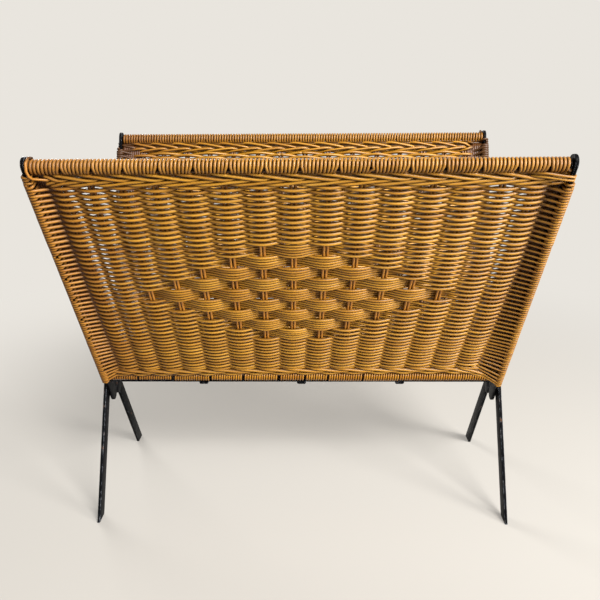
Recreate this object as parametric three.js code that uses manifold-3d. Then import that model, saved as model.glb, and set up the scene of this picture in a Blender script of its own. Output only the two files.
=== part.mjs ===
// Magazine basket: two woven cane panels that lean apart in a V, held in a welded flat-iron frame.
// Millimetres, +Z up, origin on the floor under the middle, +X along the width, front towards -Y.
import * as THREE from "three";
import { mergeVertices } from "three/addons/utils/BufferGeometryUtils.js";
import Module from "manifold-3d";

const wasm = await Module();
wasm.setup();

// Fits
const clearance = 0.3;
const overrun = 1;
const weldTolerance = 0.01;

// Panels: each runs up from a bottom roll to a top roll, and fans out a little on the way
const panelLength = 270.6;
const panelLean = THREE.MathUtils.degToRad(25.4);
const bottomRollHeight = 140.6;
const bottomHalfGap = 21;
const halfWidthBottom = 217.6;
const halfWidthTop = 222.2;

// Iron frame: flat bar for the panel sides and the legs, thin strip for the floor
const barWidth = 14;
const barThickness = 3;
const barTopRise = 1.5;
const barEndRise = 2.5;
const legSplay = THREE.MathUtils.degToRad(27.7);
const footHalfSpread = 82.4;
const legTop = 136;
const ledgeWidth = 10;
const ledgeThickness = 2;
const strapWidth = 10;
const strapThickness = 2.5;
const strapCount = 3;
const strapRound = 1.2;
const barEndSegments = 6;

// Rolls: a rod bound with cane
const topRodDiameter = 7;
const topRollDiameter = 12.8;
const bottomRodDiameter = 3;
const bottomRollDiameter = 6.8;
const rodSides = 10;
const bindingLoops = 24;
const bindingGap = 1;
const bindingSteps = 8;
const bindingCorners = 4;

// Weave: cane rows over double stakes
const caneThickness = 2.7;
const stakeThickness = 3;
const stakePairs = 15;
const sideStrip = 22.8;
const baseWaleHeight = 14.6;
const lowerWeaveHeight = 47.8;
const diamondBands = 9;
const bandHeight = 13.75;
const topWaleHeight = 12.1;
const waleCane = 3.2;
const shoulderWall = 1.2;
const edgeLoopCount = 12;
const edgeLoopGap = 3;
const edgeRoot = 4;

// Finishes
const golden = new THREE.MeshStandardMaterial({ color: 0xc08a3e, roughness: 0.55, metalness: 0 });
const pale = new THREE.MeshStandardMaterial({ color: 0xd2a055, roughness: 0.5, metalness: 0 });
const deep = new THREE.MeshStandardMaterial({ color: 0xa87430, roughness: 0.6, metalness: 0 });
const iron = new THREE.MeshStandardMaterial({ color: 0x1c1d1e, roughness: 0.5, metalness: 0.6 });

// Worked out from the sizes above. In a panel's own frame x runs across it, z up along it from
// the bottom roll, and -y points out of its outer face
const fanRate = (halfWidthTop / halfWidthBottom - 1) / panelLength;
const barInner = halfWidthBottom - barThickness;
const railHalf = barInner - clearance;
const halfPair = stakeThickness;
const stakeRoom = stakeThickness / 2 + clearance;
const weaveFace = stakeRoom + caneThickness;
const crossingFace = caneThickness;
const waleFace = stakeRoom + waleCane;
const middlePair = (stakePairs - 1) / 2;
const middleBand = (diamondBands - 1) / 2;
const stakePitch = (barInner - sideStrip) / middlePair;
const stakeTop = panelLength - topRollDiameter / 2 - clearance;
const baseWaleStart = bottomRollDiameter / 2 + clearance;
const lowerWeaveStart = baseWaleStart + baseWaleHeight;
const diamondStart = lowerWeaveStart + lowerWeaveHeight;
const upperWeaveStart = diamondStart + diamondBands * bandHeight;
const topWaleStart = stakeTop - topWaleHeight;
const rowEnd = middlePair * stakePitch + halfPair + clearance + shoulderWall;

const across = new THREE.Vector3(1, 0, 0);
const along = new THREE.Vector3(0, 1, 0);
const up = new THREE.Vector3(0, 0, 1);

function part(name, geometry, material) {
  const mesh = new THREE.Mesh(geometry, material.clone());
  mesh.name = name;
  return mesh;
}

function prism(shape, height) {
  const curveSegments = barEndSegments;
  return new THREE.ExtrudeGeometry(shape, { depth: height, bevelEnabled: false, curveSegments });
}

// A side view drawn as (y, z), given its thickness along x from start
function sidePlate(shape, start, thickness) {
  const geometry = prism(shape, thickness);
  geometry.applyMatrix4(new THREE.Matrix4().makeBasis(along, up, across));
  return geometry.translate(start, 0, 0);
}

function polygon(points) {
  return new THREE.Shape(points.map(([a, b]) => new THREE.Vector2(a, b)));
}

function rectangle(left, right, low, high) {
  return [[left, low], [right, low], [right, high], [left, high]];
}

// Widens a panel piece with its height, so that bars, stakes and rows fan out together
function fanOut(geometry) {
  const place = geometry.attributes.position;
  for (let i = 0; i < place.count; i += 1) {
    place.setX(i, place.getX(i) * (1 + fanRate * place.getZ(i)));
  }
  geometry.computeVertexNormals();
  return geometry;
}

function toSolid(geometry) {
  const bare = geometry.clone();
  bare.deleteAttribute("normal");
  bare.deleteAttribute("uv");
  const merged = mergeVertices(bare, weldTolerance);
  const vertProperties = new Float32Array(merged.attributes.position.array);
  const triVerts = new Uint32Array(merged.index.array);
  return new wasm.Manifold(new wasm.Mesh({ numProp: 3, vertProperties, triVerts }));
}

function toGeometry(solid) {
  const mesh = solid.getMesh();
  const geometry = new THREE.BufferGeometry();
  geometry.setAttribute("position", new THREE.BufferAttribute(mesh.vertProperties, mesh.numProp));
  geometry.setIndex(new THREE.BufferAttribute(mesh.triVerts, 1));
  return geometry;
}

// How a diamond band meets a stake pair: plain rows hide it, and inside the diamond the
// band passes whole, in front of one pair and behind the next
function crossing(level, pair) {
  const reach = middleBand + 1 - Math.abs(level - middleBand);
  if (Math.abs(pair) > reach) {
    return "plain";
  }
  return (reach - Math.abs(pair)) % 2 === 0 ? "behind" : "front";
}

// Outer and inner face of a row band at each kind of crossing, as distances out of the panel
function facesAt(kind, face) {
  const faces = {
    plain: [face, -face],
    front: [face, stakeRoom],
    behind: [-stakeRoom, -face],
  };
  return faces[kind];
}

// One face of a band from left to right. Plain rows swell over each pair, where the canes pass in
// front and behind by turns, and sink between two pairs, where they cross over
function rowPath(kinds, face, side) {
  const shoulder = halfPair + clearance + shoulderWall;
  const endDepth = side === 0 ? face : -face;
  const path = [[-rowEnd, -endDepth]];
  kinds.forEach((kind, index) => {
    const x = (index - middlePair) * stakePitch;
    const depth = facesAt(kind, face)[side];
    if (kind !== "plain") {
      path.push([x - shoulder, -depth], [x + shoulder, -depth]);
      return;
    }
    path.push([x, -depth]);
    if (kinds[index + 1] === "plain") {
      path.push([x + stakePitch / 2, -Math.sign(depth) * crossingFace]);
    }
  });
  path.push([rowEnd, -endDepth]);
  return path;
}

// One face of a wale: its canes lie close, so it runs flat from end to end
function walePath(kinds, face, side) {
  const depth = side === 0 ? face : -face;
  return [[-rowEnd, -depth], [rowEnd, -depth]];
}

// Slots that run through a band, one for each stake pair it hides
function stakeSlots(kinds, height) {
  const slots = [];
  kinds.forEach((kind, index) => {
    if (kind === "plain") {
      const tool = new THREE.BoxGeometry(2 * (halfPair + clearance), 2 * stakeRoom, height + 2 * overrun);
      slots.push(toSolid(tool.translate((index - middlePair) * stakePitch, 0, height / 2)));
    }
  });
  return slots;
}

function cutAway(solid, tools) {
  return tools.reduce((rest, tool) => rest.subtract(tool), solid);
}

// A band in plan, between its outer and its inner face, extruded and then slotted for the stakes
function band(facePath, face, kinds, start, height) {
  const outer = facePath(kinds, face, 0);
  const inner = facePath(kinds, face, 1).reverse();
  const whole = toSolid(prism(polygon([...outer, ...inner]), height - clearance));
  return toGeometry(cutAway(whole, stakeSlots(kinds, height))).translate(0, 0, start);
}

function rowBand(kinds, start, height) {
  return band(rowPath, weaveFace, kinds, start, height);
}

function waleBand(kinds, start, height) {
  return band(walePath, waleFace, kinds, start, height);
}

// Where the rows run out past the last stakes they part, go before and behind the side bar and
// turn round its outer edge in loops, and the bar shows between one loop and the next
function edgeLoops(sign) {
  const root = rowEnd + clearance;
  const barRoom = barWidth / 2 + clearance;
  const outside = halfWidthBottom + clearance;
  const outerHalf = [[root, weaveFace], [barInner, barRoom + caneThickness]];
  outerHalf.push([outside + caneThickness, barRoom + caneThickness]);
  const innerHalf = [[outside, barRoom], [barInner, barRoom], [root, stakeRoom]];
  const front = [...outerHalf, ...outerHalf.map(([x, out]) => [x, -out]).reverse()];
  const back = [...innerHalf.map(([x, out]) => [x, -out]).reverse(), ...innerHalf];
  const height = stakeTop - clearance - baseWaleStart;
  const wall = toSolid(prism(polygon([...front, ...back].map(([x, out]) => [x, -out])), height));
  const pitch = (height + edgeLoopGap) / edgeLoopCount;
  const start = root + edgeRoot;
  const reach = outside + caneThickness + overrun - start;
  const gaps = [];
  for (let index = 1; index < edgeLoopCount; index += 1) {
    const gap = new THREE.BoxGeometry(reach, 2 * (barRoom + caneThickness + overrun), edgeLoopGap);
    gaps.push(toSolid(gap.translate(start + reach / 2, 0, index * pitch - edgeLoopGap / 2)));
  }
  const loops = toGeometry(cutAway(wall, gaps)).translate(0, 0, baseWaleStart);
  if (sign < 0) {
    loops.rotateZ(Math.PI);
  }
  return fanOut(loops);
}

function plainKinds() {
  return Array.from({ length: stakePairs }, () => "plain");
}

function diamondBand(level) {
  const kinds = plainKinds().map((_, index) => crossing(level, index - middlePair));
  return fanOut(rowBand(kinds, diamondStart + level * bandHeight, bandHeight));
}

// The fifteen stake pairs stand in the base wale, whose three canes lock them upright
function stakesInWale() {
  const foot = baseWaleStart + baseWaleHeight / 2;
  const reach = middlePair * stakePitch + halfPair;
  const outline = [[reach, baseWaleStart + clearance], [-reach, baseWaleStart + clearance]];
  for (let pair = -middlePair; pair <= middlePair; pair += 1) {
    const x = pair * stakePitch;
    if (pair > -middlePair) {
      outline.push([x - halfPair, foot]);
    }
    outline.push([x - halfPair, stakeTop], [x + halfPair, stakeTop]);
    if (pair < middlePair) {
      outline.push([x + halfPair, foot]);
    }
  }
  const comb = prism(polygon(outline), stakeThickness);
  comb.rotateX(Math.PI / 2).translate(0, stakeThickness / 2, 0);
  const wale = waleBand([], baseWaleStart, baseWaleHeight);
  return fanOut(toGeometry(toSolid(comb).add(toSolid(wale))));
}

// A side bar of the panel: flat bar with round ends, whose lower end meets the opposite bar's
function sideBar(sign) {
  const radius = barWidth / 2;
  const meeting = -(bottomHalfGap - radius - clearance) / Math.sin(panelLean);
  const low = meeting + barEndRise;
  const high = panelLength + barTopRise;
  const shape = new THREE.Shape();
  shape.absarc(0, low, radius, Math.PI, 2 * Math.PI, false);
  shape.absarc(0, high, radius, 0, Math.PI, false);
  const start = sign > 0 ? barInner : -halfWidthBottom;
  return fanOut(sidePlate(shape, start, barThickness));
}

function rod(diameter, height) {
  const geometry = new THREE.CylinderGeometry(diameter / 2, diameter / 2, 2 * railHalf, rodSides);
  return fanOut(geometry.rotateZ(Math.PI / 2).translate(0, 0, height));
}

// Cane binding: one flat strand of several canes wound from bar to bar round a rod
function binding(rodDiameter, rollDiameter, height) {
  const steps = bindingSteps;
  const flat = Math.cos(Math.PI / steps);
  const inner = (rodDiameter / 2 + clearance) / flat;
  const outer = rollDiameter / 2;
  const length = 2 * (railHalf - clearance);
  const pitch = (length + bindingGap) / (bindingLoops + 1);
  const width = pitch - bindingGap;
  const count = bindingLoops * steps;
  const points = [];
  const faces = [];
  for (let step = 0; step <= count; step += 1) {
    const turn = (2 * Math.PI * step) / steps;
    const x = (pitch * step) / steps - length / 2;
    [[x, inner], [x + width, inner], [x + width, outer], [x, outer]].forEach(([place, radius]) => {
      points.push(place, radius * Math.cos(turn), height + radius * Math.sin(turn));
    });
  }
  for (let step = 0; step < count; step += 1) {
    for (let corner = 0; corner < bindingCorners; corner += 1) {
      const here = bindingCorners * step + corner;
      const next = bindingCorners * step + ((corner + 1) % bindingCorners);
      const ahead = next + bindingCorners;
      faces.push(here, next, ahead, here, ahead, here + bindingCorners);
    }
  }
  const last = bindingCorners * count;
  faces.push(0, 3, 2, 0, 2, 1, last, last + 1, last + 2, last, last + 2, last + 3);
  const geometry = new THREE.BufferGeometry();
  geometry.setAttribute("position", new THREE.Float32BufferAttribute(points, 3));
  geometry.setIndex(faces);
  reportLeastGap(points, steps);
  return fanOut(geometry);
}

// Measures how near one loop of a binding comes to the next, on the edges that face each other
function reportLeastGap(points, steps) {
  const corner = (index) => new THREE.Vector3().fromArray(points, 3 * index);
  const corners = points.length / 3;
  let least = Infinity;
  for (let here = 2; here + bindingCorners * steps < corners; here += bindingCorners) {
    for (let near = -1; near <= 1; near += 1) {
      const next = here + 1 + bindingCorners * (steps + near);
      if (next < corners) {
        least = Math.min(least, corner(here).distanceTo(corner(next)));
      }
    }
  }
  console.log(`binding: ${bindingLoops} loops, least gap ${least.toFixed(2)} mm`);
}

// Iron ledge under a bottom roll, from bar to bar, reaching in from the middle of the roll
function ledge(side) {
  const top = bottomRollHeight - bottomRollDiameter / 2 - clearance;
  const near = side * bottomHalfGap;
  const far = side * (bottomHalfGap - ledgeWidth);
  const low = top - ledgeThickness;
  const shape = polygon(rectangle(Math.min(near, far), Math.max(near, far), low, top));
  return sidePlate(shape, clearance - barInner, 2 * railHalf);
}

// Cross strap under both ledges, with its long edges eased
function strap(index) {
  const top = bottomRollHeight - bottomRollDiameter / 2 - ledgeThickness - 2 * clearance;
  const spacing = (2 * halfWidthBottom) / (strapCount + 1);
  const middle = (index - (strapCount - 1) / 2) * spacing;
  const left = middle - strapWidth / 2;
  const right = middle + strapWidth / 2;
  const low = top - strapThickness;
  const profile = polygon([
    [left + strapRound, low], [right - strapRound, low], [right, low + strapRound],
    [right, top], [left, top], [left, low + strapRound],
  ]);
  const geometry = prism(profile, 2 * bottomHalfGap);
  return geometry.rotateX(Math.PI / 2).translate(0, bottomHalfGap, 0);
}

// Gusset: plate that fills the V between the lower ends of two side bars
function gusset(sign) {
  const top = bottomRollHeight - bottomRollDiameter / 2 - clearance;
  const rise = Math.tan(panelLean);
  const halfAtRoll = bottomHalfGap - (barWidth / 2 + clearance) / Math.cos(panelLean);
  const apex = bottomRollHeight - halfAtRoll / rise;
  const half = (top - apex) * rise;
  const start = sign > 0 ? barInner : -halfWidthBottom;
  return sidePlate(polygon([[-half, top], [0, apex], [half, top]]), start, barThickness);
}

// Leg: flat bar from the floor, cut level there, that laps the outer side of the bar and the gusset
function leg(side, sign) {
  const half = barWidth / 2 / Math.cos(legSplay);
  const slope = Math.tan(legSplay);
  const place = (foot, z) => [side * (foot - slope * z), z];
  const outer = footHalfSpread + half;
  const inner = footHalfSpread - half;
  const outline = [place(outer, 0), place(inner, 0), place(inner, legTop), place(outer, legTop)];
  const near = halfWidthBottom + clearance;
  const start = sign > 0 ? near : -near - barThickness;
  return sidePlate(polygon(outline), start, barThickness);
}

// A whole panel in its own frame. The rear one is turned round, so its left lies on the other side
function panel(label, left) {
  const group = new THREE.Group();
  const ground = plainKinds();
  group.add(
    part(`${label}_left_side_bar`, sideBar(left), iron),
    part(`${label}_right_side_bar`, sideBar(-left), iron),
    part(`${label}_left_edge_loops`, edgeLoops(left), golden),
    part(`${label}_right_edge_loops`, edgeLoops(-left), golden),
    part(`${label}_top_rod`, rod(topRodDiameter, panelLength), iron),
    part(`${label}_bottom_rod`, rod(bottomRodDiameter, 0), iron),
    part(`${label}_stakes_in_base_wale`, stakesInWale(), deep),
    part(`${label}_lower_weave`,
      fanOut(rowBand(ground, lowerWeaveStart, lowerWeaveHeight)), golden),
    part(`${label}_upper_weave`,
      fanOut(rowBand(ground, upperWeaveStart, topWaleStart - upperWeaveStart)), golden),
    part(`${label}_top_wale`,
      fanOut(waleBand(ground, topWaleStart, topWaleHeight)), pale),
    part(`${label}_top_binding`,
      binding(topRodDiameter, topRollDiameter, panelLength), pale),
    part(`${label}_bottom_binding`,
      binding(bottomRodDiameter, bottomRollDiameter, 0), pale),
  );
  for (let level = 0; level < diamondBands; level += 1) {
    const shade = level % 2 === 0 ? golden : pale;
    group.add(part(`${label}_diamond_band_${level + 1}`, diamondBand(level), shade));
  }
  group.rotation.x = panelLean;
  group.position.set(0, -bottomHalfGap, bottomRollHeight);
  return group;
}

const basket = new THREE.Group();
basket.add(panel("front", -1));

const rear = new THREE.Group();
rear.add(panel("rear", 1));
rear.rotation.z = Math.PI;
basket.add(rear);

[["front", -1], ["rear", 1]].forEach(([label, side]) => {
  basket.add(part(`${label}_ledge`, ledge(side), iron));
  basket.add(part(`${label}_left_leg`, leg(side, -1), iron));
  basket.add(part(`${label}_right_leg`, leg(side, 1), iron));
});
basket.add(part("left_gusset", gusset(-1), iron), part("right_gusset", gusset(1), iron));

for (let index = 0; index < strapCount; index += 1) {
  basket.add(part(`floor_strap_${index + 1}`, strap(index), iron));
}

export default basket;
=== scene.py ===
import math
import random

import bmesh
import bpy
import numpy as np
from mathutils import Matrix, Vector


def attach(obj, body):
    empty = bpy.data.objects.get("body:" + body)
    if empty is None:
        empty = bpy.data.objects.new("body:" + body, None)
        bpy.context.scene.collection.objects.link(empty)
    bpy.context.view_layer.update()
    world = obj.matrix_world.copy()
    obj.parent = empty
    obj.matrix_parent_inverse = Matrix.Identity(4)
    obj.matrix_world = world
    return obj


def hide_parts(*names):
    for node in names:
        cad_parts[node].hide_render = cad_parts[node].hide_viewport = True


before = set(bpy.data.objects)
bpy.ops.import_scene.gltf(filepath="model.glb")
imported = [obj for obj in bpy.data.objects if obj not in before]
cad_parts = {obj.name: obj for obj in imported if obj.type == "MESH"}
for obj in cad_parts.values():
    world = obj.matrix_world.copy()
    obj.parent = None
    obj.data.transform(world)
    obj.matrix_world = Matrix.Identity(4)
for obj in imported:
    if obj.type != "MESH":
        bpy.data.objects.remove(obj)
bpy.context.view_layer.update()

# Everything is measured in millimetres here and handed to Blender in metres.
MM = 0.001

# The panel plane: x runs across, out points away from the pocket, up climbs from the bottom roll.
FRONT, REAR = 1, -1
LEFT, RIGHT = -1, 1
LEAN = math.radians(25.4)
BOTTOM_ROLL_HEIGHT = 140.6
BOTTOM_HALF_GAP = 21.0
PANEL_LENGTH = 270.6

# Side bars, measured from the middle at the panel's foot, and half the width that it fans out to
BAR_INNER = 214.6
BAR_OUTER = 217.6
BAR_HALF_DEPTH = 7.0
TOP_HALF_WIDTH = 222.2
FAN_RATE = (TOP_HALF_WIDTH / BAR_OUTER - 1) / PANEL_LENGTH
PAINTED_EDGE = 0.35

# Cane radii
LOWER_CANE = 1.55
DIAMOND_CANE = 1.5
UPPER_CANE = 1.76
STAKE = 1.5
EDGE_PACKING_CANE = 1.6
BASE_PACKING_CANE = 1.4
TOP_PACKING_CANE = 1.45
WALE_CANE = 1.6
LASHING = 1.4
TOP_WRAP = 1.4
BOTTOM_WRAP = 1.15
CANE_SIDES = 8

# Stakes stand in pairs. At STAKES_TRUE_AT they stand where STAKE_X says. FOOT_SHIFT tells, by x, how far
# aside they stand LEAN_BELOW lower, and they are as far to the other side LEAN_ABOVE higher.
STAKE_X = (-191.8, -168.3, -143.3, -116.4, -89.5, -60.8, -33.0, -5.1,
           23.6, 50.5, 79.5, 107.0, 134.5, 162.6, 187.6)
LAST_STAKE = len(STAKE_X) - 1
MIDDLE = LAST_STAKE // 2
STAKE_SPREAD = 1.55
STAKES_TRUE_AT = 168
FOOT_SHIFT = ((-190, 110), (3.2, -8.6))
LEAN_BELOW, LEAN_ABOVE = 135, 270
STAKE_FOOT, STAKE_TOP = 3.8, 261.0

# Rows, counted from the bottom: plain ones, the diamond's bands, plain ones again
LOWER_ROWS = 20
LOWER_START = 19.3
LOWER_PITCH = 2.4
BANDS = 9
BAND_ROWS = 5
BAND_START = 73.0
BAND_STEP = 13.75
ROW_PITCH = 2.75
SPREAD_PITCH = 3.2
UPPER_ROWS = 23
UPPER_START = 191.3
UPPER_PITCH = 2.74
FIRST_UPPER_ROW = LOWER_ROWS + BANDS * BAND_ROWS
LAST_ROW = FIRST_UPPER_ROW + UPPER_ROWS - 1

# How far a row stands off the panel plane at a stake pair, and how often a new cane is joined in
WAVE = 3.05
JOIN_SHARE = 0.42

# The base wale and the first rows climb from CLIMB_LEFT on, and the rows at CLIMB_TOP no longer do
CLIMB_RATE = 0.0155
CLIMB_LEFT = -190
CLIMB_TOP = 65

# How far rows rise on their way to a side bar, by height. In the bottom corners they drop.
BAR_RISE = {
    LEFT: ((11, 19.7, 42, 65, 89, 125, 186, 234), (-6.2, 0.0, 4.4, 6.0, 6.1, 5.5, 4.2, 4.1)),
    RIGHT: ((14, 21.6, 32, 43, 127, 187, 236), (-11.8, -3.8, -0.3, 1.9, 2.0, 1.0, 0.9)),
}
# How far past the last stake pair a cane changes face
CROSSING = {LEFT: 10, RIGHT: 11.8}

# A cane's way round a side bar, seen from the bar's end: x and out over each of its edges
BAR_CLEAR = BAR_HALF_DEPTH + LOWER_CANE
TURN_X = BAR_OUTER + 1.2
OUTER_EDGE = ((BAR_OUTER - 1.4, BAR_CLEAR), (BAR_OUTER + 0.5, BAR_CLEAR - 0.35), (TURN_X, BAR_CLEAR - 1.9),
              (TURN_X + 0.1, 3.0), (TURN_X + 0.1, -3.0), (TURN_X, 1.9 - BAR_CLEAR),
              (BAR_OUTER + 0.5, 0.35 - BAR_CLEAR), (BAR_OUTER - 1.4, -BAR_CLEAR))
INNER_EDGE = ((BAR_INNER - 0.4, -BAR_CLEAR), (BAR_INNER - LOWER_CANE, 1.5 - BAR_CLEAR),
              (BAR_INNER - LOWER_CANE - 0.1, 0.0), (BAR_INNER - LOWER_CANE, BAR_CLEAR - 1.5),
              (BAR_INNER - 0.4, BAR_CLEAR))

# Twined rows: height, rods, rise and depth of the twist, phase in stake pairs, and the drop 50 mm past
# DROP_FROM, beside the right bar
BASE_WALE = ((12.9, 3, 2.3, 3.0, 0.0, 13), (7.3, 2, 0.5, 2.7, 0.5, 11), (16.4, 2, 0.3, 2.3, 0.0, 7))
BASE_PACKING = ((5.2, 2, 0.4, 1.4, 0.5, 6), (9.6, 2, 0.4, 1.5, 0.0, 8), (12.8, 2, 0.4, 1.5, 0.5, 8))
TOP_WALE = ((256.2, 3, -1.9, 3.2, 0.5), (261.9, 3, 2.7, 3.5, 0.0))
TOP_PACKING = ((259.5, 2, 0.3, 1.2, 0.0), (263.6, 2, 0.2, 0.9, 0.5))
TOP_WALE_LEFT = -203.0
DROP_FROM = 160

# Rolls: outer radius, height and the distance from turn to turn
TOP_ROLL, TOP_ROLL_UP, TOP_ROLL_PITCH = 6.4, PANEL_LENGTH, 3.1
BOTTOM_ROLL, BOTTOM_ROLL_UP, BOTTOM_ROLL_PITCH = 3.9, 1.4, 2.6
ROLL_HALF = BAR_INNER - 0.4
# The turns part beside each stake pair, this far to the right of it
NOTCH_SHIFT = 5.4

# The backdrop, and the floor as it is seen and as it throws light back
BACKDROP = "#E9E5DE"
FLOOR_SEEN = "#ABA69E"
FLOOR_BOUNCE = "#6E655A"

# The camera: lens in pixels of the 600-pixel image, place in metres, angles in degrees
IMAGE_WIDTH = 600
LENS_PIXELS = 626.37
SENSOR_WIDTH = 36
CAMERA_PLACE = (0.01003, -0.64984, 0.44614)
CAMERA_YAW, CAMERA_PITCH, CAMERA_ROLL = 1.0, 18.89, -0.41


def placed(points, panel):
    """Panel points (x, out, up) in mm become world points in metres."""
    x, out, up = np.asarray(points, float).T
    world = np.stack([
        x * (1 + FAN_RATE * up),
        -(BOTTOM_HALF_GAP + up * math.sin(LEAN) + out * math.cos(LEAN)),
        BOTTOM_ROLL_HEIGHT + up * math.cos(LEAN) - out * math.sin(LEAN),
    ], axis=1)
    return world * [panel * MM, panel * MM, MM]


def climb(panel):
    """The direction that a panel climbs in."""
    return np.array([0, -panel * math.sin(LEAN), math.cos(LEAN)])


def srgb(code):
    """An sRGB hex colour as linear RGBA."""
    channels = [int(code[i:i + 2], 16) / 255 for i in (1, 3, 5)]
    linear = [c / 12.92 if c <= 0.04045 else ((c + 0.055) / 1.055) ** 2.4 for c in channels]
    return (*linear, 1.0)


def put(name, data):
    """A new object in the scene, at the origin."""
    thing = bpy.data.objects.new(name, data)
    bpy.context.scene.collection.objects.link(thing)
    return thing


# Weave

def row_height(row):
    if row < LOWER_ROWS:
        return LOWER_START + LOWER_PITCH * row
    if row < FIRST_UPPER_ROW:
        band, place = divmod(row - LOWER_ROWS, BAND_ROWS)
        return BAND_START + BAND_STEP * band + ROW_PITCH * (place - 2)
    return UPPER_START + UPPER_PITCH * (row - FIRST_UPPER_ROW)


def band_of(row):
    """The band of five that a row passes with, counted from the bottom, or None."""
    band = (row - LOWER_ROWS) // BAND_ROWS
    return band if 0 <= band < BANDS else None


def band_reach(band):
    """How many stake pairs a band's part of the diamond reaches to each side of the middle one."""
    return BAND_ROWS - abs(band - BANDS // 2)


def in_diamond(row, pair):
    band = band_of(row)
    return band is not None and abs(pair) <= band_reach(band)


def face(row, pair):
    """+1 where a row passes in front of a stake pair and -1 where it passes behind."""
    if in_diamond(row, pair):
        return -1 if (band_reach(band_of(row)) - abs(pair)) % 2 == 0 else 1
    return 1 if (row + pair) % 2 == 0 else -1


def stake_x(k, up):
    """Stakes fan out from the foot and lean to the right a little, most of them in the right half."""
    foot = float(np.interp(STAKE_X[k], *FOOT_SHIFT))
    return STAKE_X[k] + foot * (STAKES_TRUE_AT - up) / (LEAN_BELOW if up < STAKES_TRUE_AT else LEAN_ABOVE)


def base_climb(x, up):
    """The base wale and the first rows climb from left to right, the less the higher they lie."""
    return CLIMB_RATE * max(0.0, x - CLIMB_LEFT) * max(0.0, 1 - up / CLIMB_TOP)


def bar_height(height, side):
    """Where a row meets its side bar."""
    return height + float(np.interp(height, *BAR_RISE[side]))


def ease(t):
    return (1 - math.cos(math.pi * t)) / 2


def spread(row, pair):
    """How far a band's canes part while they lie over a stake pair."""
    if not in_diamond(row, pair):
        return 0.0
    place = (row - LOWER_ROWS) % BAND_ROWS - 2
    return place * (SPREAD_PITCH - ROW_PITCH)


def bar_approach(side, turn, height, out, top):
    """A cane's straight run from its last stake pair to the side bar. It changes face at the crossing."""
    steps = 9
    last = abs(stake_x(0 if side == LEFT else LAST_STAKE, height))
    stops = (last, last + 4.2, last + CROSSING[side], BAR_INNER - 0.6)
    outs = (out, out * 0.86, 0.0, turn * (BAR_CLEAR - 0.1))
    rises = (0.0, 0.05, 0.2, 1.0)
    points = []
    for step in range(1, steps + 1):
        x = stops[0] + (stops[3] - stops[0]) * step / steps
        risen = (bar_height(height, side) - top) * float(np.interp(x, stops, rises))
        points.append((side * x, float(np.interp(x, stops, outs)), top + risen))
    return points


def woven_row(row, draw):
    """One row from the left bar to the right bar, as panel points. Each crossing differs a little, and
    more in the thicker upper canes."""
    steps = 8
    height = row_height(row)
    upper = row >= FIRST_UPPER_ROW
    loose = 0.38 if upper else 0.22
    wave = WAVE + (0.2 if upper else 0)
    lift = [draw.uniform(-loose, loose) for _ in STAKE_X]
    swell = [wave * draw.uniform(0.94, 1.08) for _ in STAKE_X]
    knots = []
    for k in range(len(STAKE_X)):
        x = stake_x(k, height)
        line = height + base_climb(x, height)
        knots.append((x, face(row, k - MIDDLE) * swell[k], line + lift[k] + spread(row, k - MIDDLE), line))
    points = bar_approach(LEFT, face(row, -MIDDLE - 1), height, *knots[0][1:3])[::-1]
    for a, b in zip(knots, knots[1:]):
        for step in range(steps):
            t = step / steps
            e = ease(t)
            # between the pairs the canes of a band close up again
            pinch = (a[3] + b[3] - a[2] - b[2]) / 2 * math.sin(math.pi * t) * 0.6
            points.append((a[0] + (b[0] - a[0]) * t, a[1] + (b[1] - a[1]) * e,
                           a[2] + (b[2] - a[2]) * (0.5 * t + 0.5 * e) + pinch))
    points.append(knots[-1][:3])
    return points + bar_approach(RIGHT, face(row, MIDDLE + 1), height, *knots[-1][1:3])


def bar_turn(side, start, end, from_front):
    """A turn and a half round a side bar, from one row's end on one face to the next row's start on the
    other, so that twice as many turns lie on the outer edge as rows cross each face."""
    sign = 1 if from_front else -1
    legs = ((OUTER_EDGE, start, start), (INNER_EDGE, start, end), (OUTER_EDGE, end, end))
    return [(side * x, sign * out, low + (high - low) * (i + 1) / len(edge))
            for edge, low, high in legs
            for i, (x, out) in enumerate(edge)]


def weave(first, last, draw):
    """The canes of the rows from first to last, cut where one ends behind a stake and the next begins."""
    canes, cane = [], []
    for row in range(first, last + 1):
        heading = RIGHT if row % 2 == 0 else LEFT
        points = woven_row(row, draw)[::heading]
        if row == 0:
            # the first cane starts on the bar that it comes from
            start = points[0][2]
            cane += bar_turn(-heading, start - 2.5, start, face(0, -heading * (MIDDLE + 1)) < 0)[4:]
        if draw.random() < JOIN_SHARE:
            behind = [i for i, p in enumerate(points) if p[1] < -0.95 * WAVE and 30 < i < len(points) - 30]
            cut = draw.choice(behind) if behind else len(points) // 2
            canes.append(cane + points[:cut + 1])
            cane = points[cut:]
        else:
            cane += points
        end = points[-1][2]
        start = bar_height(row_height(row + 1), heading) if row < LAST_ROW else end + 2.6
        cane += bar_turn(heading, end, start, points[-1][1] > 0)
    return canes + [cane]


def twined_row(height, rods, rise, depth, phase, drop=0.0, left=-BAR_INNER):
    """Rods that twine over the stakes: each passes in front of rods-1 pairs, then behind one."""
    steps = 10
    pairs = np.arange(-MIDDLE - 1, MIDDLE + 2)
    knots = [left] + [stake_x(k, height) for k in range(len(STAKE_X))] + [BAR_INNER]
    canes = []
    for rod in range(rods):
        points = []
        for step in range((len(knots) - 1) * steps + 1):
            place = step / steps - MIDDLE - 1
            x = np.interp(place, pairs, knots)
            if rods == 2:
                turn = math.pi * (place - rod - phase)
                out = math.cos(turn)
            else:
                turn = 2 * math.pi * (place - rod - phase - 0.5) / rods
                out = math.tanh(2.2 * (math.cos(turn) + 0.25))
            line = height + base_climb(x, height) - drop * max(0, (x - DROP_FROM) / 50) ** 1.7
            points.append((x, depth * out, line - rise * math.sin(turn)))
        canes.append(points)
    return canes


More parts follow.
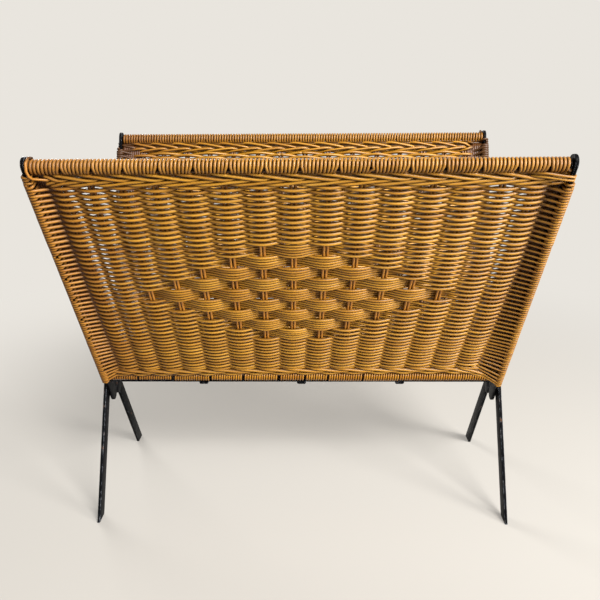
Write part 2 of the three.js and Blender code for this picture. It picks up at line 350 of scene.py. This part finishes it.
def rolled(radius, wrap, up, pitch, draw, part=0.0, gaps=0.0, fuller=0.0):
    """A cane wound round a rod from end to end. Near the stakes its turns part on the underside, where a
    new cane starts it may leave a gap or sag, and from 150 to 50 mm left of the middle the roll may grow
    fuller."""
    steps = 14
    reach = radius - wrap
    notches = [stake_x(k, up) + NOTCH_SHIFT for k in range(len(STAKE_X))]
    canes, points = [], []
    slack = skipped = sag = 0.0
    turns_left = draw.randint(9, 15)
    for turn in range(int(2 * ROLL_HALF / pitch)):
        slack = 0.7 * slack + draw.uniform(-0.12, 0.12)
        if skipped + pitch * turn > 2 * ROLL_HALF:
            break
        for step in range(steps):
            angle = 2 * math.pi * step / steps
            x = -ROLL_HALF + skipped + pitch * (turn + step / steps) + slack
            if part:
                gap = min((x - notch for notch in notches), key=abs)
                below = min(1.0, max(0.0, -math.sin(angle - 0.5)) / 0.85) ** 1.3
                x += math.copysign(part, gap) * math.exp(-abs(gap) / 3.6) * below
            swell = fuller * ease(min(1.0, max(0.0, (x + 150) / 100)))
            wobble = reach + swell + draw.uniform(-0.05, 0.05)
            points.append((x, wobble * math.cos(angle),
                           up + swell + wobble * math.sin(angle) - sag * max(0, -math.sin(angle))))
            if turns_left == 0 and step == 10:
                canes.append(points)
                points = points[-1:]
                turns_left = draw.randint(9, 15)
                # on the right the turns lie close
                skipped += draw.uniform(0.4, 1.0) * gaps * (1.0 if x < 95 else 0.15)
                sag = 1.7 if gaps and draw.random() < 0.3 else 0.0
        turns_left -= 1 if turns_left else 0
    return canes + [points]


# Cane pieces

def stake_shadow(x, up):
    """Painted shade: stakes are darkened everywhere but in the windows of the diamond and at their tops."""
    painted_shade_depths = []
    for across, height in zip(x, up):
        pair = min(range(len(STAKE_X)), key=lambda k: abs(stake_x(k, height) - across)) - MIDDLE
        band = round((height - BAND_START) / BAND_STEP)
        row = LOWER_ROWS + band * BAND_ROWS
        window = 0 <= band < BANDS and in_diamond(row, pair) and face(row, pair) < 0
        painted_shade_depths.append(0.0 if window or height > 262 else 0.75)
    return np.array(painted_shade_depths)


def closed_ends(mesh):
    """Caps the canes' open ends, flat, and leaves their sides smooth."""
    shell = bmesh.new()
    shell.from_mesh(mesh)
    bmesh.ops.holes_fill(shell, edges=[e for e in shell.edges if e.is_boundary], sides=CANE_SIDES)
    bmesh.ops.recalc_face_normals(shell, faces=shell.faces)
    for side in shell.faces:
        side.smooth = len(side.verts) == 4
    shell.to_mesh(mesh)
    shell.free()


def cane_piece(name, canes, panel, finish, radius, rows=True, shade=None, shaded_throughout=0.0, shadow=None):
    """Canes as one piece. Each vertex learns where it is along and round its own cane, the cane's
    own shade, and how much painted shade and brown varnish darken it, for the rattan materials."""
    curve = bpy.data.curves.new(name, "CURVE")
    curve.dimensions = "3D"
    curve.bevel_depth = MM
    curve.bevel_resolution = CANE_SIDES // 2 - 2
    draw = random.Random(name)
    runs, seeds, shades, centres, painted_shade_depths = [], [], [], [], []
    for cane in canes:
        world = placed(cane, panel)
        count = len(world)
        spline = curve.splines.new("POLY")
        spline.points.add(count - 1)
        spline.points.foreach_set("co", np.c_[world, np.ones(count)].ravel())
        width = radius * draw.uniform(0.96, 1.04)
        x, out, up = np.asarray(cane, float).T
        # canes are thinner where they run to the side bars and round them
        thinned = 1 - 0.14 * np.clip((np.abs(x) - 196) / 6, 0, 1) if rows else np.ones(count)
        spline.points.foreach_set("radius", width * thinned)
        spline.use_smooth = True
        lengths = np.linalg.norm(np.diff(world, axis=0), axis=1)
        runs.append(np.r_[0, np.cumsum(lengths)] + draw.uniform(0, 5))
        seeds.append(np.full(count, draw.uniform(0, 9)))
        own = draw.uniform(0.36, 0.64) if shade is None else shade + 0.2 * draw.random()
        shades.append(np.full(count, own))
        centres.append(world)
        if rows:
            # painted shadow behind the strips beside the bars, and a little darker on the bars' outer edges
            behind = np.clip((np.abs(x) - 197) / 5, 0, 1) * np.clip(1 - out / 3, 0, 1)
            painted_shade_depths.append(np.maximum(behind, 0.4 * np.clip((np.abs(x) - BAR_OUTER + 1) / 2, 0, 1)))
        else:
            painted_shade_depths.append(shadow(x, up) if shadow else np.zeros(count))
    holder = put(name, curve)
    graph = bpy.context.evaluated_depsgraph_get()
    mesh = bpy.data.meshes.new_from_object(holder.evaluated_get(graph), depsgraph=graph)
    bpy.data.objects.remove(holder)
    piece = put(name, mesh)

    corner = np.zeros(len(mesh.vertices) * 3)
    mesh.vertices.foreach_get("co", corner)
    middle = np.concatenate(centres)[:, None, :]
    away = corner.reshape(-1, CANE_SIDES, 3) - middle
    away /= np.linalg.norm(away, axis=2)[:, :, None]
    # painted shade, with some brown varnish, where a cane lies against the next one, most of all underneath
    towards = away @ (climb(panel) if rows else np.array([1.0, 0.0, 0.0]))
    over = np.clip((towards - 0.7) / 0.3, 0, 1)
    under = np.clip((-towards - (0.0 if rows else 0.5)) / (0.75 if rows else 0.4), 0, 1)
    painted_shade_and_patina = np.maximum(np.maximum(over, under), np.maximum(np.concatenate(painted_shade_depths)[:, None], shaded_throughout))
    angle = 2 * math.pi * np.arange(CANE_SIDES) / CANE_SIDES
    grain = np.zeros((len(middle), CANE_SIDES, 3))
    grain[:, :, 0] = np.concatenate(runs)[:, None]
    grain[:, :, 1] = radius * MM * np.cos(angle) + np.concatenate(seeds)[:, None]
    grain[:, :, 2] = radius * MM * np.sin(angle)
    attribute = mesh.attributes.new("grain", "FLOAT_VECTOR", "POINT")
    attribute.data.foreach_set("vector", grain.ravel())
    tint = np.repeat(np.concatenate(shades)[:, None], CANE_SIDES, 1)
    for title, values in (("painted_shade_and_patina", painted_shade_and_patina), ("shade", tint)):
        attribute = mesh.attributes.new(title, "FLOAT", "POINT")
        attribute.data.foreach_set("value", values.ravel())

    closed_ends(mesh)
    mesh.materials.clear()
    mesh.materials.append(finish)
    return piece


def dressed(piece, slot, *nodes):
    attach(piece, "root")
    if nodes:
        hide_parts(*nodes)


# Materials

def add(tree, kind, inputs=None, stops=(), **settings):
    """Adds a node with its settings and links. An input is a value or another node's output socket, and
    a colour ramp's stops are pairs of a position and a colour."""
    node = tree.nodes.new(kind)
    for key, value in settings.items():
        setattr(node, key, value)
    for key, value in (inputs or {}).items():
        if isinstance(value, bpy.types.NodeSocket):
            tree.links.new(value, node.inputs[key])
        else:
            node.inputs[key].default_value = value
    if stops:
        elements = node.color_ramp.elements
        while len(elements) < len(stops):
            elements.new(0.5)
        for element, (position, colour) in zip(elements, stops):
            element.position = position
            element.color = colour
    return node


def sized(*millimetres):
    """The scale that gives a noise pattern these sizes."""
    return tuple(1 / (size * MM) for size in millimetres)


def new_material(name):
    material = bpy.data.materials.new(name)
    material.use_nodes = True
    tree = material.node_tree
    return material, tree, tree.nodes["Principled BSDF"]


def varnished_rattan(name, tones, shade_and_patina_colour):
    """Round centre cane of rattan, peeled, woven damp and varnished long ago: fine fibres run along it,
    each length has its own honey shade, and painted shade with some brown varnish darkens it where canes
    meet."""
    material, tree, surface = new_material(name)
    grain = add(tree, "ShaderNodeAttribute", attribute_name="grain").outputs["Vector"]
    shade = add(tree, "ShaderNodeAttribute", attribute_name="shade").outputs["Fac"]
    painted_shade_and_patina = add(tree, "ShaderNodeAttribute", attribute_name="painted_shade_and_patina").outputs["Fac"]

    # fibres about 30 mm long, and 0.5 mm wide: the real ones are finer, but wouldn't show
    space = add(tree, "ShaderNodeMapping", {"Vector": grain, "Scale": sized(30, 0.5, 0.5)})
    fibres = add(tree, "ShaderNodeTexNoise", {"Vector": space.outputs[0], "Scale": 1.0, "Detail": 3.0,
                                              "Roughness": 0.6}).outputs["Fac"]
    # the shade wanders along a cane in stretches of about 45 mm
    space = add(tree, "ShaderNodeMapping", {"Vector": grain, "Scale": sized(45, 20, 20)})
    patches = add(tree, "ShaderNodeTexNoise", {"Vector": space.outputs[0], "Scale": 1.0,
                                               "Detail": 2.0}).outputs["Fac"]
    wander = add(tree, "ShaderNodeMath", {0: patches, 1: 0.8, 2: -0.4}, operation="MULTIPLY_ADD").outputs[0]
    tone = add(tree, "ShaderNodeMath", {0: shade, 1: wander}, operation="ADD", use_clamp=True).outputs[0]
    body = add(tree, "ShaderNodeValToRGB", {"Fac": tone},
               stops=[(i / (len(tones) - 1), srgb(code)) for i, code in enumerate(tones)])
    # a fibre darkens the shade under it or lightens it, so these are factors and not colours
    streak = add(tree, "ShaderNodeValToRGB", {"Fac": fibres}, stops=[
        (0.28, (0.72, 0.66, 0.58, 1)), (0.5, (1, 1, 1, 1)), (0.8, (1.12, 1.12, 1.08, 1))])
    streaked = add(tree, "ShaderNodeMix", {"Factor": 1.0, "A": body.outputs["Color"],
                                           "B": streak.outputs["Color"]},
                   data_type="RGBA", blend_type="MULTIPLY")
    # the colour darkens towards the side bars, from 124 mm out on the left and 176 mm on the right: brown
    # varnish and painted shade
    place = add(tree, "ShaderNodeTexCoord").outputs["Object"]
    across = add(tree, "ShaderNodeSeparateXYZ", {"Vector": place}).outputs["X"]
    shifted = add(tree, "ShaderNodeMath", {0: across, 1: 26 * MM}, operation="SUBTRACT").outputs[0]
    reach = add(tree, "ShaderNodeMath", {0: shifted}, operation="ABSOLUTE").outputs[0]
    side_darkening = add(tree, "ShaderNodeMapRange", {"Value": reach, "From Min": 150 * MM, "From Max": 235 * MM,
                                            "To Min": 0.0, "To Max": 0.72}).outputs[0]
    browned_and_shaded = add(tree, "ShaderNodeMix", {"Factor": side_darkening, "A": streaked.outputs["Result"],
                                          "B": srgb("#D4BFA0")}, data_type="RGBA", blend_type="MULTIPLY")
    # painted shade, with some brown varnish, in the hollows and under the canes
    painted_shade_amount = add(tree, "ShaderNodeMapRange", {"Value": painted_shade_and_patina, "From Min": 0.0, "From Max": 1.0,
                                              "To Min": 0.0, "To Max": 0.94}).outputs[0]
    with_shade_and_patina = add(tree, "ShaderNodeMix", {"Factor": painted_shade_amount, "A": browned_and_shaded.outputs["Result"], "B": srgb(shade_and_patina_colour)},
                 data_type="RGBA")
    # dark specks and bruises, 2 mm across and 6 mm long at most
    space = add(tree, "ShaderNodeMapping", {"Vector": grain, "Scale": sized(6, 2, 2)})
    specks = add(tree, "ShaderNodeTexNoise", {"Vector": space.outputs[0], "Scale": 1.0,
                                              "Detail": 4.0}).outputs["Fac"]
    bruised = add(tree, "ShaderNodeMapRange", {"Value": specks, "From Min": 0.66, "From Max": 0.74,
                                               "To Min": 0.0, "To Max": 0.7}).outputs[0]
    final = add(tree, "ShaderNodeMix", {"Factor": bruised, "A": with_shade_and_patina.outputs["Result"],
                                        "B": srgb("#4A2A10")}, data_type="RGBA")
    tree.links.new(final.outputs["Result"], surface.inputs["Base Color"])

    # the varnish shines on the fibres' ridges and is duller towards the side bars, where the colour darkens
    varnished = add(tree, "ShaderNodeMapRange", {"Value": fibres, "From Min": 0.3, "From Max": 0.7,
                                                 "To Min": 0.5, "To Max": 0.34}).outputs[0]
    rough = add(tree, "ShaderNodeMath", {0: side_darkening, 1: 0.22, 2: varnished}, operation="MULTIPLY_ADD").outputs[0]
    tree.links.new(rough, surface.inputs["Roughness"])
    surface.inputs["IOR"].default_value = 1.5
    surface.inputs["Specular IOR Level"].default_value = 0.4
    surface.inputs["Coat Weight"].default_value = 0.16
    surface.inputs["Coat Roughness"].default_value = 0.26
    bump = add(tree, "ShaderNodeBump", {"Height": fibres, "Strength": 0.5, "Distance": 0.12 * MM})
    tree.links.new(bump.outputs["Normal"], surface.inputs["Normal"])
    return material


def worn_black_paint(name):
    """Flat mild steel bar, brushed with black oil paint: semi-gloss, slightly ropy, with a blue-grey
    highlight painted on its edges, where the paint is also rubbed thin to the steel, and chipped to brown
    rust here and there."""
    material, tree, surface = new_material(name)
    place = add(tree, "ShaderNodeTexCoord").outputs["Object"]
    # chips of about 7 mm, and paint that thickens and thins over about 35 mm
    chips = add(tree, "ShaderNodeTexNoise", {"Vector": place, "Scale": 1 / (7 * MM), "Detail": 6.0,
                                             "Roughness": 0.62}).outputs["Fac"]
    cloud = add(tree, "ShaderNodeTexNoise", {"Vector": place, "Scale": 1 / (35 * MM),
                                             "Detail": 3.0}).outputs["Fac"]
    # within 1.3 mm of an edge the rounded normal turns away from the flat one: there a blue-grey highlight is
    # painted, and the paint is rubbed thin
    flat = add(tree, "ShaderNodeNewGeometry").outputs["Normal"]
    rounded = add(tree, "ShaderNodeBevel", {"Radius": 1.3 * MM}, samples=4).outputs["Normal"]
    turned = add(tree, "ShaderNodeVectorMath", {0: flat, 1: rounded},
                 operation="DOT_PRODUCT").outputs["Value"]
    edge = add(tree, "ShaderNodeMapRange", {"Value": turned, "From Min": 0.985, "From Max": 0.86,
                                            "To Min": 0.0, "To Max": 0.21}).outputs[0]
    wear_and_highlight = add(tree, "ShaderNodeMath", {0: chips, 1: edge}, operation="ADD").outputs[0]
    bare_and_highlit = add(tree, "ShaderNodeMapRange", {"Value": wear_and_highlight, "From Min": 0.64, "From Max": 0.77}).outputs[0]
    coat = add(tree, "ShaderNodeValToRGB", {"Fac": cloud}, stops=[
        (0.35, srgb("#050506")), (0.65, srgb("#0D0E10"))])
    # blue-grey and grey are the steel in the chips and a painted highlight on the edges, brown is rust
    steel_and_highlight = add(tree, "ShaderNodeValToRGB", {"Fac": chips}, stops=[
        (0.45, srgb("#7C8797")), (0.60, srgb("#9C9EA2")), (0.70, srgb("#6A4426"))])
    final = add(tree, "ShaderNodeMix", {"Factor": bare_and_highlit, "A": coat.outputs["Color"],
                                        "B": steel_and_highlight.outputs["Color"]}, data_type="RGBA")
    tree.links.new(final.outputs["Result"], surface.inputs["Base Color"])
    rough = add(tree, "ShaderNodeMapRange", {"Value": chips, "From Min": 0.3, "From Max": 0.7,
                                             "To Min": 0.34, "To Max": 0.52}).outputs[0]
    tree.links.new(rough, surface.inputs["Roughness"])
    surface.inputs["Specular IOR Level"].default_value = 0.03
    ropy = add(tree, "ShaderNodeBump", {"Height": cloud, "Strength": 0.4, "Distance": 0.6 * MM})
    chipped = add(tree, "ShaderNodeBump", {"Height": chips, "Strength": 0.35, "Distance": 0.2 * MM,
                                           "Normal": ropy.outputs["Normal"]})
    tree.links.new(chipped.outputs["Normal"], surface.inputs["Normal"])
    return material


# each rattan's last colour is its painted shade, with some brown varnish, for the hollows and undersides
golden_rattan = varnished_rattan("varnished_rattan_golden",
                                 tones=("#9C640E", "#B07818", "#C28B26", "#D4A03E"), shade_and_patina_colour="#381C02")
pale_rattan = varnished_rattan("varnished_rattan_pale",
                               tones=("#744810", "#8E5E16", "#A47224", "#BC8C3E"), shade_and_patina_colour="#321802")
deep_rattan = varnished_rattan("varnished_rattan_deep",
                               tones=("#985C18", "#AC6E22", "#BE8030", "#CC9440"), shade_and_patina_colour="#341402")
black_paint = worn_black_paint("worn_black_paint_on_steel")


# The two woven panels

def woven_rows(label, panel, draw):
    canes = weave(0, LOWER_ROWS - 1, draw)
    dressed(cane_piece(label + "_lower_rows", canes, panel, golden_rattan, LOWER_CANE),
            "golden_cane", label + "_lower_weave", label + "_left_edge_loops", label + "_right_edge_loops")
    for band in range(BANDS):
        first = LOWER_ROWS + band * BAND_ROWS
        canes = weave(first, first + BAND_ROWS - 1, draw)
        dressed(cane_piece(f"{label}_diamond_rows_{band + 1}", canes, panel, golden_rattan, DIAMOND_CANE),
                "golden_cane", f"{label}_diamond_band_{band + 1}")
    canes = weave(FIRST_UPPER_ROW, LAST_ROW, draw)
    dressed(cane_piece(label + "_upper_rows", canes, panel, golden_rattan, UPPER_CANE),
            "golden_cane", label + "_upper_weave")


def stakes(label, panel, draw):
    """Pairs of stakes from the base wale to the top roll, where they lean over to the right."""
    canes = []
    for k in range(len(STAKE_X)):
        for half in (-1, 1):
            sway = draw.uniform(-0.35, 0.35)
            stake = [(stake_x(k, up) + half * STAKE_SPREAD + sway * math.sin(up / 60 + k), 0.0, up)
                     for up in np.linspace(STAKE_FOOT, STAKE_TOP, 90)]
            top = stake[-1][0]
            canes.append(stake + [(top + 0.6, 0.6, 262.6), (top + 2.0, 1.4, 264.0), (top + 3.6, 2.0, 264.9)])
    dressed(cane_piece(label + "_stake_canes", canes, panel, deep_rattan, STAKE, rows=False, shade=0.5,
                       shadow=stake_shadow), "deep_cane", label + "_stakes_in_base_wale")


def edge_packing(label, panel):
    """Thin canes stand in the shed between the last stakes and each bar."""
    canes = []
    for side, last in ((LEFT, 0), (RIGHT, LAST_STAKE)):
        for share in np.linspace(0.2, 0.88, 8):
            upright = []
            for up in np.linspace(16, 262, 60):
                gap = BAR_INNER - abs(stake_x(last, up))
                upright.append((side * (BAR_INNER - gap * (1 - share)), -3.4 * max(0.0, share - 0.33), up))
            canes.append(upright)
    # painted dark throughout: painted shade in the shed beside the bars
    dressed(cane_piece(label + "_edge_packing", canes, panel, deep_rattan, EDGE_PACKING_CANE, rows=False,
                       shaded_throughout=0.9), "deep_cane")


def base_wale(label, panel):
    across = np.linspace(-BAR_INNER, BAR_INNER, 40)
    canes = [cane for row in BASE_PACKING for cane in twined_row(*row)]
    for up, share in ((2.6, 0.2), (4.0, 0.6)):
        canes.append([(x, -0.6, up + share * base_climb(x, up)) for x in across])
    # painted dark throughout: painted shade in the gaps around the wale, down to the bottom roll
    dressed(cane_piece(label + "_base_packing", canes, panel, golden_rattan, BASE_PACKING_CANE, shaded_throughout=0.92),
            "golden_cane")
    canes = [cane for row in BASE_WALE for cane in twined_row(*row)]
    # the base canes' ends run down to the side bars and round them
    for side, climbed in ((LEFT, 0.0), (RIGHT, 4.2)):
        for step in range(6):
            height = 17.8 - 1.5 * step
            turn = 1 if step % 2 else -1
            end = bar_height(height, side)
            canes.append(bar_approach(side, turn, height, -2.2 * turn, height + climbed)
                         + bar_turn(side, end, end - 2.4, turn > 0)[:-4])
    # one more turn closes the right bar between the two lowest rows, which part there
    canes.append(bar_turn(RIGHT, 16.2, 15.2, True))
    dressed(cane_piece(label + "_base_waling", canes, panel, golden_rattan, WALE_CANE), "golden_cane")


def top_wale(label, panel):
    across = np.linspace(-BAR_INNER, BAR_INNER, 40)
    canes = [cane for row in TOP_PACKING for cane in twined_row(*row)]
    canes += [[(x, out, 266.0) for x in across] for out in (-1.6, 1.0)]
    # painted dark throughout: painted shade in the gaps around the top wale, under the roll
    dressed(cane_piece(label + "_top_packing", canes, panel, golden_rattan, TOP_PACKING_CANE, shaded_throughout=0.85),
            "golden_cane")
    canes = [cane for row in TOP_WALE for cane in twined_row(*row, left=TOP_WALE_LEFT)]
    dressed(cane_piece(label + "_top_waling", canes, panel, golden_rattan, WALE_CANE),
            "golden_cane", label + "_top_wale")


def corner_lashing(label, panel):
    """Above the last row the bars are wound on to the top roll."""
    canes = [bar_turn(LEFT, 257.6, 260.4, True), bar_turn(RIGHT, 253.6, 256.4, True)]
    # on the left the last turn runs in under the roll, on the right the top canes run out over the bar
    canes.append(bar_turn(LEFT, 263.0, 265.6, False) + [
        (-212.0, 8.5, 265.0), (-207.0, 7.0, 263.2), (-202.0, 4.4, 261.0), (-196.0, 0.6, 259.6)])
    for up in (263.4, 260.2):
        canes.append([(184.0, 3.2, up + 2.2), (198.0, 5.4, up + 1.9), (210.0, 8.5, up + 1.4),
                      (216.6, 8.7, up + 0.8), (218.0, 6.0, up + 0.4), (218.0, 0.0, up), (217.6, -5.4, up)])
    # the winding's end comes down over the left bar and is tucked behind the turns
    canes.append([(-211.6, -5.5, 275.6), (-212.2, -0.5, 278.8), (-212.8, 5.4, 277.2), (-213.0, 8.6, 272.0),
                  (-212.0, 9.6, 267.6), (-210.4, 8.6, 264.6), (-209.4, 5.0, 262.4), (-209.2, 1.0, 261.6)])
    dressed(cane_piece(label + "_bar_lashing", canes, panel, golden_rattan, LASHING), "golden_cane")


def bound_rolls(label, panel, draw):
    canes = rolled(TOP_ROLL, TOP_WRAP, TOP_ROLL_UP, TOP_ROLL_PITCH, draw, part=2.4)
    dressed(cane_piece(label + "_top_roll_binding", canes, panel, pale_rattan, TOP_WRAP, rows=False),
            "pale_cane", label + "_top_binding")
    canes = rolled(BOTTOM_ROLL, BOTTOM_WRAP, BOTTOM_ROLL_UP, BOTTOM_ROLL_PITCH, draw, gaps=3.6, fuller=1.8)
    dressed(cane_piece(label + "_bottom_roll_binding", canes, panel, golden_rattan, BOTTOM_WRAP, rows=False,
                       shade=0.08), "pale_cane", label + "_bottom_binding")


def woven_panel(label, panel):
    draw = random.Random(label)
    woven_rows(label, panel, draw)
    stakes(label, panel, draw)
    edge_packing(label, panel)
    base_wale(label, panel)
    top_wale(label, panel)
    corner_lashing(label, panel)
    bound_rolls(label, panel, draw)


woven_panel("front", FRONT)
woven_panel("rear", REAR)


# Iron

def painted_iron(node):
    """A copy of a packed bar with its edges eased by the paint."""
    shell = bmesh.new()
    shell.from_mesh(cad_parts[node].data)
    bmesh.ops.remove_doubles(shell, verts=shell.verts, dist=0.01 * MM)
    bmesh.ops.dissolve_limit(shell, angle_limit=math.radians(1), verts=shell.verts, edges=shell.edges)
    sharp = [e for e in shell.edges if len(e.link_faces) == 2 and e.calc_face_angle() > math.radians(40)]
    bmesh.ops.bevel(shell, geom=sharp, offset=PAINTED_EDGE * MM, affect="EDGES", segments=2, profile=0.5,
                    material=-1)
    bmesh.ops.recalc_face_normals(shell, faces=shell.faces)
    mesh = bpy.data.meshes.new(node + "_iron")
    shell.to_mesh(mesh)
    shell.free()
    mesh.shade_smooth()
    mesh.set_sharp_from_angle(angle=math.radians(35))
    mesh.materials.append(black_paint)
    dressed(put(node + "_iron", mesh), "black_iron", node)


for node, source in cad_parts.items():
    if any(word in node for word in ("side_bar", "leg", "ledge", "strap", "gusset")):
        painted_iron(node)
    elif "rod" in node:
        source.data.materials.clear()
        source.data.materials.append(black_paint)


# Floor, light and camera

def seen_ray(tree):
    """1 for a ray that shows the backdrop to the camera, straight or by a reflection."""
    path = add(tree, "ShaderNodeLightPath")
    seen = path.outputs["Is Camera Ray"]
    for kind in ("Is Glossy Ray", "Is Transmission Ray"):
        seen = add(tree, "ShaderNodeMath", {0: seen, 1: path.outputs[kind]}, operation="MAXIMUM").outputs[0]
    return seen


def floor_sheet():
    """Matt painted board, rolled: even and without gloss. It is pale to the eye, but throws back no more
    light than a wooden floor."""
    shell = bmesh.new()
    bmesh.ops.create_grid(shell, x_segments=1, y_segments=1, size=6.0)
    mesh = bpy.data.meshes.new("floor")
    shell.to_mesh(mesh)
    shell.free()
    material, tree, surface = new_material("matt_pale_floor")
    surface.inputs["Roughness"].default_value = 0.9
    tone = add(tree, "ShaderNodeMix", {"Factor": seen_ray(tree), "A": srgb(FLOOR_BOUNCE),
                                       "B": srgb(FLOOR_SEEN)}, data_type="RGBA")
    tree.links.new(tone.outputs["Result"], surface.inputs["Base Color"])
    # from 0.3 to 0.95 m away from the object the floor takes on the backdrop's own tone
    place = add(tree, "ShaderNodeTexCoord").outputs["Object"]
    away = add(tree, "ShaderNodeVectorMath", {0: place}, operation="LENGTH").outputs["Value"]
    far = add(tree, "ShaderNodeMapRange", {"Value": away, "From Min": 0.3, "From Max": 0.95, "To Min": 0.3},
              interpolation_type="SMOOTHSTEP").outputs[0]
    glow = add(tree, "ShaderNodeEmission", {"Color": srgb(BACKDROP), "Strength": 1.0})
    shown = add(tree, "ShaderNodeMath", {0: far, 1: seen_ray(tree)}, operation="MULTIPLY").outputs[0]
    mixed = add(tree, "ShaderNodeMixShader", {0: shown, 1: surface.outputs[0], 2: glow.outputs[0]})
    tree.links.new(mixed.outputs[0], tree.nodes["Material Output"].inputs["Surface"])
    mesh.materials.append(material)
    put("floor", mesh)


def soft_lamp(name, place, size, power):
    """A square lamp that shines at the middle of the panels."""
    light = bpy.data.lights.new(name, "AREA")
    light.shape = "SQUARE"
    light.size = size
    light.energy = power
    lamp = put(name, light)
    lamp.location = place
    lamp.rotation_euler = (Vector((0, 0, 0.25)) - Vector(place)).to_track_quat("-Z", "Y").to_euler()


def studio():
    world = bpy.data.worlds.new("soft_room")
    bpy.context.scene.world = world
    world.use_nodes = True
    tree = world.node_tree
    light = tree.nodes["Background"]
    light.inputs["Color"].default_value = srgb("#F2EFEA")
    light.inputs["Strength"].default_value = 0.2
    backdrop = add(tree, "ShaderNodeBackground", {"Color": srgb(BACKDROP), "Strength": 1.0})
    mixed = add(tree, "ShaderNodeMixShader", {0: seen_ray(tree), 1: light.outputs[0], 2: backdrop.outputs[0]})
    tree.links.new(mixed.outputs[0], tree.nodes["World Output"].inputs["Surface"])
    soft_lamp("window", (1.25, -0.78, 0.58), 0.45, 25)
    soft_lamp("skylight", (0.85, -1.12, 1.65), 0.8, 68)
    soft_lamp("far_window", (-1.3, 1.6, 0.9), 0.9, 42)
    bpy.context.scene.view_settings.view_transform = "Standard"


def photo_camera():
    yaw, pitch, roll = (math.radians(angle) for angle in (CAMERA_YAW, CAMERA_PITCH, CAMERA_ROLL))
    right = Vector((math.cos(yaw), math.sin(yaw), 0))
    ahead = Vector((-math.sin(yaw) * math.cos(pitch), math.cos(yaw) * math.cos(pitch), -math.sin(pitch)))
    top = right.cross(ahead)
    turned_right = right * math.cos(roll) + top * math.sin(roll)
    turned_top = top * math.cos(roll) - right * math.sin(roll)
    lens = bpy.data.cameras.new("camera")
    lens.sensor_width = SENSOR_WIDTH
    lens.sensor_fit = "HORIZONTAL"
    lens.lens = LENS_PIXELS * SENSOR_WIDTH / IMAGE_WIDTH
    lens.clip_start = 0.01
    camera = put("camera", lens)
    camera.matrix_world = Matrix.Translation(CAMERA_PLACE) @ Matrix(
        (turned_right, turned_top, -ahead)).transposed().to_4x4()
    bpy.context.scene.camera = camera


floor_sheet()
studio()
photo_camera()
